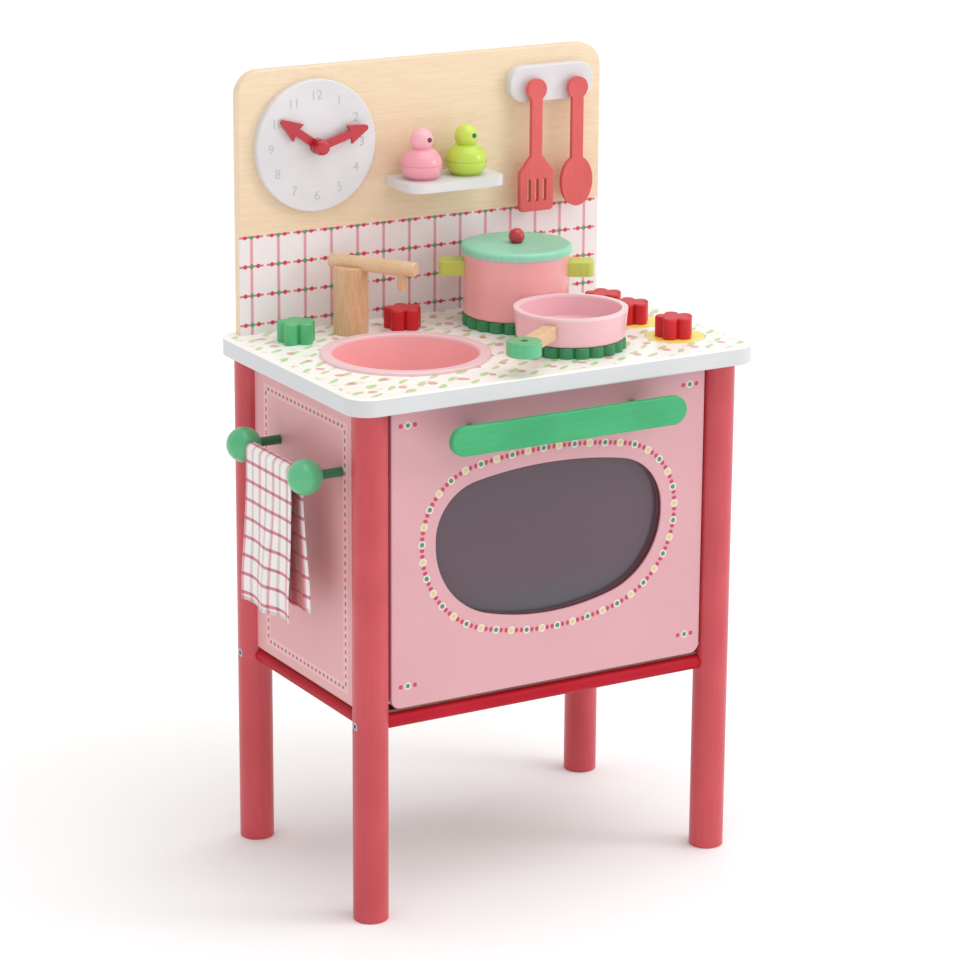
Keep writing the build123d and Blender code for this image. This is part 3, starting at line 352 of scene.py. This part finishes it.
def worktop_print(name):
    """White top with a loose print of small spots and slips, and a yellow disc under each hob knob."""
    wander, slip_l, slip_w, slip_flat, slip_r = 0.014, 0.0280, 0.0200, 0.14, 0.0032
    disc_r, ring_r, ring_half_w, plain_rim = 0.0285, 0.0300, 0.0008, 0.0075
    g = Graph(name)
    cloud = g.cloud(11)
    # The board's sides are grey where its top is white: painted shade.
    edge = g.mix(cloud, (206, 207, 209), (216, 217, 219))
    ground = g.mix(cloud, (248, 247, 240), (252, 251, 246))
    u = g.x + (g.cloud(28, detail=1) - 0.5) * wander
    v = g.y + (g.cloud(31, detail=1, shift=4.7) - 0.5) * wander
    red = spots(u, v, 0.0330, 0.0046)
    pale = spots(u, v, 0.0290, 0.0040, 0.45, 0.30)
    along, across = (u * 0.8 + v * 0.6).cell(slip_l, 0.5), (v * 0.8 - u * 0.6).cell(slip_w, 0.25)
    slip = (along * along * slip_flat + across * across).sqrt().below(slip_r, SOFT)
    tone = g.mix(pale * 0.45, ground, (244, 208, 166))
    tone = g.mix(slip * 0.80, tone, (178, 208, 134))
    tone = g.mix(red * 0.72, tone, (222, 120, 126))
    for node in ("hob_knob_back", "hob_knob_middle", "hob_knob_front"):
        lo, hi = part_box(node)
        far = span(g.x - (lo.x + hi.x) / 2, g.y - (lo.y + hi.y) / 2)
        tone = g.mix(far.below(disc_r, SOFT), tone, g.mix(cloud, (244, 230, 84), (248, 236, 108)))
        tone = g.mix((far - ring_r).abs().below(ring_half_w, EDGE), tone, (214, 214, 92))
    rim = (g.x - top_lo.x).min(top_hi.x - g.x).min(g.y - top_lo.y).min(top_hi.y - g.y)
    tone = g.mix(rim.below(plain_rim, SOFT), tone, ground)
    # Below the printed skin the sides take the grey of painted shade.
    tone = g.mix(g.z.below(top_hi.z - SKIN, EDGE), tone, edge)
    g.bump(g.noise(60, 700, 700, detail=4) * 0.7 + cloud * 0.3, 0.10)
    return g.finish(tone, 0.38 + cloud * 0.06, Coat_Weight=0.3, Coat_Roughness=0.22)


def turned_bowl(name, inner, rim, node, rim_h=0.0048):
    """Painted bowl whose lip is paler than its inside."""
    g = Graph(name)
    cloud = g.cloud(18)
    rings = g.noise(3, 3, 420, detail=2)
    tone = g.mix(cloud, tint(inner, 0.97), tint(inner, 1.05))
    tone = g.mix(g.z.above(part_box(node)[1].z - rim_h, 0.0006), tone, rim)
    g.bump(rings * 0.6 + g.cloud(900, detail=3) * 0.4, 0.10)
    return g.finish(tone, 0.34 + cloud * 0.08, Coat_Weight=0.35, Coat_Roughness=0.2)


def shaker_paint(name, color, light, node):
    """Glossy paint, lighter on the head, with thin turned lines on the belly."""
    head_from, belly_to, line_pitch, line_w = 0.62, 0.52, 0.24, 0.0011
    g = Graph(name)
    lo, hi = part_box(node)
    h, up = hi.z - lo.z, g.z - lo.z
    cloud = g.cloud(60)
    tone = g.mix((up / h).above(head_from, 0.14) * 0.45, color, light)
    lines = bars(up, h * line_pitch, line_w, 0.30) * (up / h).below(belly_to, 0.02)
    tone = g.mix(lines * 0.45, tone, tint(color, 0.74))
    g.bump(cloud, 0.06)
    return g.finish(tone, 0.30 + cloud * 0.08, Coat_Weight=0.5, Coat_Roughness=0.15)


def pane(name):
    """Smoked plastic that lets a little of the oven show, cooler low down."""
    g = Graph(name)
    lo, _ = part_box("door_window")
    haze = g.cloud(7, detail=1)
    low = g.z.below(lo.z + 0.030, 0.024) * g.x.above(lo.x + 0.030, 0.03)
    tone = g.mix(haze, (92, 72, 83), (101, 81, 92))
    return g.finish(g.mix(low * 0.55, tone, (78, 92, 98)), 0.16 + haze * 0.05,
                    Alpha=0.86, Coat_Weight=0.15, Coat_Roughness=0.12)


def cloth(name):
    """White cotton with red bars and pink and grey stripes, and painted red-tinted shade on the inner half
    of the sheet.
    """
    red, threads, plain_edge = (196, 56, 92), 4400.0, 0.0125
    wide_pitch, tall_pitch, red_shade_from = 0.0195, 0.0290, 0.1830
    g = Graph(name)
    uv = g.nt.nodes.new("ShaderNodeUVMap")
    uv.uv_map = "UVMap"
    u, v, _ = g.split(uv.outputs[0])
    wide = bars(v, wide_pitch, 0.0034)
    tall = bars(u, tall_pitch, 0.0030, 0.12)
    grey = bars(u, tall_pitch / 2, 0.0046, 0.62)
    warp, weft = u.waves(threads), v.waves(threads)
    slub = g.cloud(160, detail=3)
    ground = g.mix(slub, (236, 228, 227), (248, 243, 242))
    # The inner length of the sheet is tinted deep red, keeping a white strip at its edge: painted shade,
    # tinted red as by light off the red wood.
    inner = v.above(red_shade_from, 0.0040) * u.above(plain_edge, SOFT)
    ground = g.mix(inner * 0.88, ground, (204, 30, 32))
    tone = g.mix(grey * 0.50, ground, (176, 164, 156))
    tone = g.mix(tall * 0.62, tone, (232, 108, 140))
    tone = g.mix(wide * 0.78, tone, red)
    tone = g.mix(wide * grey * 0.45, tone, tint(red, 0.78))
    tone = g.mix(warp * weft * 0.10, tone, (170, 150, 150))
    g.bump(warp.max(weft) * 0.8 + slub * 0.2, 0.35, 0.0003)
    return g.finish(tone, 0.86, Sheen_Weight=0.35, Sheen_Roughness=0.5)


def give(material, *names):
    for n in names:
        NODES[n].data.materials.clear()
        NODES[n].data.materials.append(material)


give(paint("paint_legs", LEG_RED), "leg_front_left", "leg_front_right", "leg_back_left", "leg_back_right")
give(paint("paint_rails_long", RAIL_RED, "x", 0.46, coat=0.0, shine=0.18), "rail_front", "rail_back")
give(paint("paint_rails_short", RAIL_RED, "y", 0.46, coat=0.0, shine=0.18), "rail_left", "rail_right")
give(side_panel("print_side"), "side_panel_left", "side_panel_right")
give(wood("wood_back", (226, 198, 156), (200, 166, 120), "x"), "cabinet_back")
# The oven floor's wood is much darker than the back's: painted shade for the gap under the door.
give(wood("wood_floor", (150, 108, 88), (118, 78, 62), "x"), "oven_floor")
give(worktop_print("print_worktop"), "worktop")
give(board_print("print_board"), "back_board")
give(door_print("print_door"), "oven_door")
give(pane("pane_tinted"), "door_window")
give(paint("paint_handle", HANDLE_GREEN, "x", coat=0.1, shine=0.3), "door_handle")
give(paint("paint_green", BALL_GREEN, rough=0.32, coat=0.4),
     "towel_ball_front", "towel_ball_back", "pan_handle_end")
give(paint("paint_green_knob", KNOB_GREEN), "tap_knob_green")
# The posts and the towel rod get the rack's green darkened: painted shade.
give(paint("paint_posts", SHADED_GREEN, "x"), "towel_post_front", "towel_post_back")
give(paint("paint_posts_shaded", SHADED_GREEN, "y"), "handle_post_left", "handle_post_right", "towel_rod")
give(paint("paint_leaf", LEAF), "burner_back", "burner_front")
give(paint("paint_hob_red", KNOB_RED, coat=0.1, shine=0.3),
     "tap_knob_red", "hob_knob_back", "hob_knob_middle", "hob_knob_front")
give(paint("paint_red_gloss", GLOSS_RED, rough=0.3, coat=0.5),
     "hour_hand", "minute_hand", "clock_spindle", "lid_ball")
give(paint("paint_white", WHITE, "x", grain=0.06), "clock_face", "hook_rail", "shelf")
give(paint("paint_coral", CORAL), "spatula", "spoon")
give(wood("wood_peg", (228, 200, 158), (204, 168, 122), "y", size=2.0), "utensil_pegs")
give(wood("wood_turned", (220, 180, 138), (190, 144, 100), "z", size=1.6), "tap_column", "tap_outlet")
give(wood("wood_spout", (224, 188, 146), (198, 154, 108), "x", size=1.6), "tap_spout", "pan_handle")
give(turned_bowl("paint_sink", (250, 176, 178), (240, 204, 210), "sink_bowl", 0.0030), "sink_bowl")
give(turned_bowl("paint_pot", (242, 168, 168), (244, 178, 180), "pot_body"), "pot_body")
give(turned_bowl("paint_pan", (240, 186, 194), (240, 208, 214), "pan_body", 0.0022), "pan_body")
give(paint("paint_lid", MINT), "pot_lid")
give(paint("paint_lime", LIME), "pot_ear_left", "pot_ear_right")
give(shaker_paint("glaze_pink", (240, 158, 172), (250, 196, 204), "shaker_pink"), "shaker_pink")
give(shaker_paint("glaze_lime", (188, 216, 70), (214, 226, 90), "shaker_green"), "shaker_green")
give(steel("zinc"), "rail_screws", "hinge_pin_left", "hinge_pin_right", "catch_plate")
give(paint("plastic_white", PLASTIC, grain=0.0), "magnetic_catch")


def add_piece(name, data, materials, body):
    for m in materials:
        data.materials.append(m)
    ob = bpy.data.objects.new(name, data)
    bpy.context.scene.collection.objects.link(ob)
    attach(ob, body)
    return ob


def mesh_piece(name, verts, faces, materials, body, uvs):
    me = bpy.data.meshes.new(name)
    me.from_pydata(verts, [], faces)
    me.polygons.foreach_set("use_smooth", [True] * len(me.polygons))
    layer = me.uv_layers.new(name="UVMap")
    for loop in me.loops:
        layer.data[loop.index].uv = uvs[loop.vertex_index]
    me.update()
    return add_piece(name, me, materials, body)


def from_bmesh(name, bm, materials, body):
    me = bpy.data.meshes.new(name)
    bm.normal_update()
    bm.to_mesh(me)
    bm.free()
    return add_piece(name, me, materials, body)


def towel():
    """One cloth over the rod, whose two lengths spread and wave towards their fringed hems."""
    cloth_t, off_rod, off_ball, straight = 0.0011, 0.0016, 0.0010, 0.018
    outer_hem_up, inner_hem_up = 0.0012, 0.0142
    # Where the check starts, across the cloth and along it
    check_u, check_v = 0.0048, 0.0060
    lo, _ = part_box("towel")
    rod_lo, rod_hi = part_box("towel_rod")
    cx = (rod_lo.x + rod_hi.x) / 2
    cz = (rod_lo.z + rod_hi.z) / 2
    r = (rod_hi.x - rod_lo.x) / 2 + off_rod
    y0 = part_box("towel_ball_front")[1].y + off_ball
    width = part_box("towel_ball_back")[0].y - off_ball - y0
    outer_l, inner_l = cz - (lo.z + outer_hem_up), cz - (lo.z + inner_hem_up)
    nu, nv = 60, 168
    arc = math.pi * r
    length = outer_l + arc + inner_l

    def point(u, s):
        """u across from 0 to 1, s along the sheet from the outer hem to the inner one."""
        if s < outer_l:
            d = outer_l - s
            side, x, z = -1, cx - r, cz - d
        elif s < outer_l + arc:
            a = (s - outer_l) / r
            side, x, z, d = 0, cx - r * math.cos(a), cz + r * math.sin(a), 0.0
        else:
            d = s - outer_l - arc
            side, x, z = 1, cx + r, cz - d
        t = max(0.0, min(1.0, (d - straight) / (outer_l - straight)))
        ease = t * t * (3 - 2 * t)
        phase = 0.5 if side < 0 else 2.6
        fold = math.sin(u * 9.6 + phase) * 0.0032 + math.sin(u * 4.1 + 1.1) * 0.0014
        crease = noise.noise(Vector((u * 3.1, d * 26.0, side * 3.0))) * 0.0007
        y = y0 + width * u
        # How far each length swings out, gathers along the rod and dips, in metres where it hangs lowest
        if side < 0:
            x += (fold - 0.0012) * ease + crease * ease
            y += ease * (0.0105 - 0.0065 * u) + 0.0009 * math.sin(d * 60) * ease
            z -= 0.0012 * math.sin(u * 9.6 + 2.0) * ease
        elif side > 0:
            x += (abs(fold) * 0.9 + 0.0012) * ease + crease * ease
            y += -ease * (0.0085 + 0.0015 * u)
            z += 0.0012 * math.sin(u * 8.0) * ease
        return Vector((x, y, z))

    verts, uvs = [], []
    for j in range(nv + 1):
        s = length * j / nv
        for i in range(nu + 1):
            verts.append(point(i / nu, s))
            uvs.append((width * i / nu + check_u, s + check_v))
    row = nu + 1
    faces = [(j * row + i, j * row + i + 1, (j + 1) * row + i + 1, (j + 1) * row + i)
             for j in range(nv) for i in range(nu)]
    weave = cloth("cloth_check")
    ob = mesh_piece("towel_cloth", verts, faces, [weave], "towel_body", uvs)
    thick = ob.modifiers.new("thickness", "SOLIDIFY")
    thick.thickness, thick.offset = cloth_t, 0.0
    thick.use_rim = True
    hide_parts("towel")

    # Short threads left loose along both hems; hem is the row of the sheet that ends there
    count, thread_l, root_up, root_r, tip_r = nu * 2, 0.0040, 0.0003, 0.00036, 0.00020
    t_verts, t_faces, t_uvs = [], [], []
    for hem, s in ((0, 0.0), (nv, length)):
        for i in range(count + 1):
            a = point(i / count, s)
            swing = noise.noise(Vector((i * 0.73, hem * 0.1, 2.0)))
            tip = a + Vector((0.0008 * swing, 0.0016 * swing, -thread_l - 0.0012 * abs(swing)))
            base = len(t_verts)
            for c, r_thread in ((a + Vector((0, 0, root_up)), root_r), (tip, tip_r)):
                for k in range(4):
                    q = math.pi * k / 2
                    t_verts.append(c + Vector((math.cos(q), math.sin(q), 0)) * r_thread)
                    t_uvs.append((width * i / count + check_u, s + check_v))
            for k in range(4):
                t_faces.append((base + 4 + k, base + 4 + (k + 1) % 4, base + (k + 1) % 4, base + k))
            t_faces.append((base, base + 1, base + 2, base + 3))
            t_faces.append((base + 7, base + 6, base + 5, base + 4))
    fringe = mesh_piece("towel_fringe", t_verts, t_faces, [weave], "towel_body", t_uvs)


def flat_shape(bm, centre, radius, u, v, count, ink, stretch=1.0):
    """One thin round print mark in the plane of u and v."""
    ring = []
    for i in range(count):
        a = 2 * math.pi * i / count
        place = centre + u * (radius * math.cos(a)) + v * (radius * stretch * math.sin(a))
        ring.append(bm.verts.new(place))
    f = bm.faces.new(ring)
    f.material_index = ink
    f.smooth = False


def printed(name, color):
    g = Graph(name)
    return g.finish(g.mix(g.cloud(1400), tint(color, 0.92), tint(color, 1.06)), 0.42)


# The inks of the print marks, by their place in MARKS
RED_INK, GREEN_INK, YELLOW_INK, CREAM_INK, GREY_INK = range(5)
MARKS = [printed("print_red", RED_SPOT), printed("print_green", GREEN_SPOT),
         printed("print_yellow", YELLOW_SPOT), printed("print_cream", CREAM_SPOT),
         printed("print_grey_green", NUMBER_GREY)]
X, Z = Vector((1, 0, 0)), Vector((0, 0, 1))


def window_outline(grow):
    """Close points round the oven window in x and z, at a distance outside its edge."""
    mx, wz = (door_lo.x + door_hi.x) / 2, (door_lo.z + door_hi.z) / 2 - WINDOW_DROP
    corner_steps, crown_steps = 200, 400
    points = []
    for sign, crown, corner, rise in WINDOW_HALVES:
        inset, large, small = WINDOW_W / 2 - corner, crown + grow, corner + grow
        up = math.sqrt((crown - corner) ** 2 - inset ** 2)
        cz = wz + sign * (rise - crown + up)
        start = math.atan2(up, inset)
        rising = [start * i / corner_steps for i in range(corner_steps)]
        over = [start + (math.pi - 2 * start) * i / crown_steps for i in range(crown_steps)]
        falling = [math.pi - start * (1 - i / corner_steps) for i in range(corner_steps + 1)]
        half = [(mx + inset + small * math.cos(a), cz + sign * small * math.sin(a)) for a in rising]
        half += [(mx + large * math.cos(a), wz + sign * (rise - crown + large * math.sin(a))) for a in over]
        half += [(mx - inset + small * math.cos(a), cz + sign * small * math.sin(a)) for a in falling]
        points += half if sign > 0 else half[::-1]
    return points + points[:1]


def evenly(points, steps):
    """Places an equal run apart along a line in x and z, each with the line's direction there."""
    lengths = [0.0]
    for p, q in zip(points, points[1:]):
        lengths.append(lengths[-1] + math.hypot(q[0] - p[0], q[1] - p[1]))
    out, k = [], 0
    for i in range(steps):
        want = lengths[-1] * i / steps
        while lengths[k + 1] < want:
            k += 1
        f = (want - lengths[k]) / max(1e-9, lengths[k + 1] - lengths[k])
        p, q = points[k], points[k + 1]
        out.append((Vector((p[0] + (q[0] - p[0]) * f, 0, p[1] + (q[1] - p[1]) * f)),
                    Vector((q[0] - p[0], 0, q[1] - p[1])).normalized()))
    return out


def door_marks():
    """A chain of spots round the window and a small row in each corner, as a thin print on the door."""
    lift, chain_out, chain_steps = 0.00012, 0.0155, 132
    large_r, eye_r, small_r, small_stretch = 0.0042, 0.0024, 0.0020, 1.25
    row_r, row_eye_r, row_step, in_side, in_foot, in_top = 0.0040, 0.0023, 0.0078, 0.018, 0.022, 0.016
    over = Vector((0, -0.00006, 0))
    y = door_lo.y - lift
    bm = bmesh.new()
    for i, (p, along) in enumerate(evenly(window_outline(chain_out), chain_steps)):
        out = Vector((-along.z, 0, along.x))
        c = Vector((p.x, y, p.z))
        if i % 3 == 0:
            flat_shape(bm, c, large_r, along, out, 20, CREAM_INK)
            flat_shape(bm, c + over, eye_r, along, out, 16, GREEN_INK if i % 6 else YELLOW_INK)
        else:
            flat_shape(bm, c, small_r, along, out, 14, RED_INK, small_stretch)
    for cx in (door_lo.x + in_side, door_hi.x - in_side):
        for cz in (door_lo.z + in_foot, door_hi.z - in_top):
            c = Vector((cx, y, cz))
            flat_shape(bm, c, row_r, X, Z, 20, CREAM_INK)
            flat_shape(bm, c + over, row_eye_r, X, Z, 16, GREEN_INK)
            for way in (-1, 1):
                flat_shape(bm, c + X * (row_step * way), row_eye_r, X, Z, 14, RED_INK)
    return from_bmesh("door_print", bm, MARKS, "door")


def clock_numbers():
    """Plain numbers 1 to 12 on the clock's face."""
    size, thickness, lift, ring = 0.0135, 0.00006, 0.0001, 0.76
    lo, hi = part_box("clock_face")
    cx, cz, r = (lo.x + hi.x) / 2, (lo.z + hi.z) / 2, (hi.x - lo.x) / 2 * ring
    for hour in range(1, 13):
        a = 2 * math.pi * hour / 12
        cu = bpy.data.curves.new(f"hour_{hour}", "FONT")
        cu.body = str(hour)
        cu.size, cu.extrude = size, thickness
        cu.align_x, cu.align_y = "CENTER", "CENTER"
        cu.materials.append(MARKS[GREY_INK])
        ob = bpy.data.objects.new(f"hour_{hour}", cu)
        bpy.context.scene.collection.objects.link(ob)
        place = (cx + r * math.sin(a), lo.y - lift, cz + r * math.cos(a))
        ob.matrix_world = Matrix.Translation(place) @ Matrix.Rotation(math.pi / 2, 4, "X")
        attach(ob, "cabinet")


def shaker_beads():
    """A small dark bead set into the head of each shaker."""
    facing, out, below_top, bead_r, bead_flat = math.radians(-76), 0.0116, 0.0105, 0.0027, 0.72
    glazes = []
    for name, dark, light in (("bead_dark", (96, 24, 40), (122, 34, 50)),
                              ("bead_blue", (30, 84, 96), (44, 104, 112))):
        g = Graph(name)
        glazes.append(g.finish(g.mix(g.cloud(600, detail=3), dark, light), 0.22, Coat_Weight=0.5))
    for node, body, m in (("shaker_pink", "pink_shaker", glazes[0]),
                          ("shaker_green", "green_shaker", glazes[1])):
        lo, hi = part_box(node)
        c = Vector(((lo.x + hi.x) / 2, (lo.y + hi.y) / 2, hi.z - below_top))
        p = c + Vector((math.cos(facing), math.sin(facing), 0)) * out
        bm = bmesh.new()
        bmesh.ops.create_uvsphere(bm, u_segments=20, v_segments=12, radius=bead_r)
        for v in bm.verts:
            v.co = Vector((v.co.x, v.co.y * bead_flat, v.co.z)) + p
        for f in bm.faces:
            f.smooth = True
        from_bmesh(f"{node}_bead", bm, [m], body)


towel()
door_marks()
clock_numbers()
shaker_beads()

# Floor, light and camera
FLOOR_SIZE, WORLD_LIGHT = 60.0, 0.80
LIGHTS_AIM = Vector((0, 0, 0.4))

g = Graph("floor_pale")
floor_m = g.finish(g.mix(g.cloud(2), (250, 250, 250), (254, 254, 254)), 0.75)
bm = bmesh.new()
bmesh.ops.create_grid(bm, x_segments=2, y_segments=2, size=FLOOR_SIZE)
me = bpy.data.meshes.new("floor")
bm.to_mesh(me)
bm.free()
me.materials.append(floor_m)
floor = bpy.data.objects.new("floor", me)
bpy.context.scene.collection.objects.link(floor)

world = bpy.data.worlds.new("studio")
bpy.context.scene.world = world
world.use_nodes = True
background = world.node_tree.nodes["Background"]
background.inputs["Color"].default_value = (1.0, 1.0, 1.0, 1.0)
background.inputs["Strength"].default_value = WORLD_LIGHT


def lamp(name, kind, at, energy, spread):
    """A light that faces the part. The spread is in degrees for a sun and in metres for an area."""
    li = bpy.data.lights.new(name, kind)
    li.energy = energy
    if kind == "SUN":
        li.angle = math.radians(spread)
    else:
        li.shape, li.size = "DISK", spread
    ob = bpy.data.objects.new(name, li)
    bpy.context.scene.collection.objects.link(ob)
    ob.location = at
    ob.rotation_euler = (LIGHTS_AIM - Vector(at)).to_track_quat("-Z", "Y").to_euler()


lamp("overhead", "SUN", (0.9, -0.7, 3.6), 1.10, 60)
lamp("key", "AREA", (2.0, -1.5, 1.5), 11, 0.9)

# The photo's camera as fitted: focal length and optical axis in pixels, angles in radians
IMAGE, FOCAL_PX, AXIS_X, AXIS_Y, SENSOR_MM = 960.0, 3481.0, 510.0, 432.0, 36.0
YAW, PITCH, ROLL = 0.5349, -0.2714, 0.0085
CAMERA_AT = (-1.6791, -2.8993, 1.3752)

cam_data = bpy.data.cameras.new("camera")
cam = bpy.data.objects.new("camera", cam_data)
bpy.context.scene.collection.objects.link(cam)
cam_data.sensor_fit = "HORIZONTAL"
cam_data.sensor_width = SENSOR_MM
cam_data.lens = FOCAL_PX * SENSOR_MM / IMAGE
cam_data.shift_x = (IMAGE / 2 - AXIS_X) / IMAGE
cam_data.shift_y = (AXIS_Y - IMAGE / 2) / IMAGE
cam_data.clip_end = 2 * FLOOR_SIZE
forward = Vector((math.sin(YAW) * math.cos(PITCH), math.cos(YAW) * math.cos(PITCH), math.sin(PITCH)))
level = Vector((math.cos(YAW), -math.sin(YAW), 0.0))
upright = level.cross(forward)
right = level * math.cos(ROLL) + upright * math.sin(ROLL)
up = upright * math.cos(ROLL) - level * math.sin(ROLL)
turn = Matrix((right, up, -forward)).transposed().to_4x4()
cam.matrix_world = Matrix.Translation(CAMERA_AT) @ turn
bpy.context.scene.camera = cam
bpy.context.scene.view_settings.view_transform = "Standard"
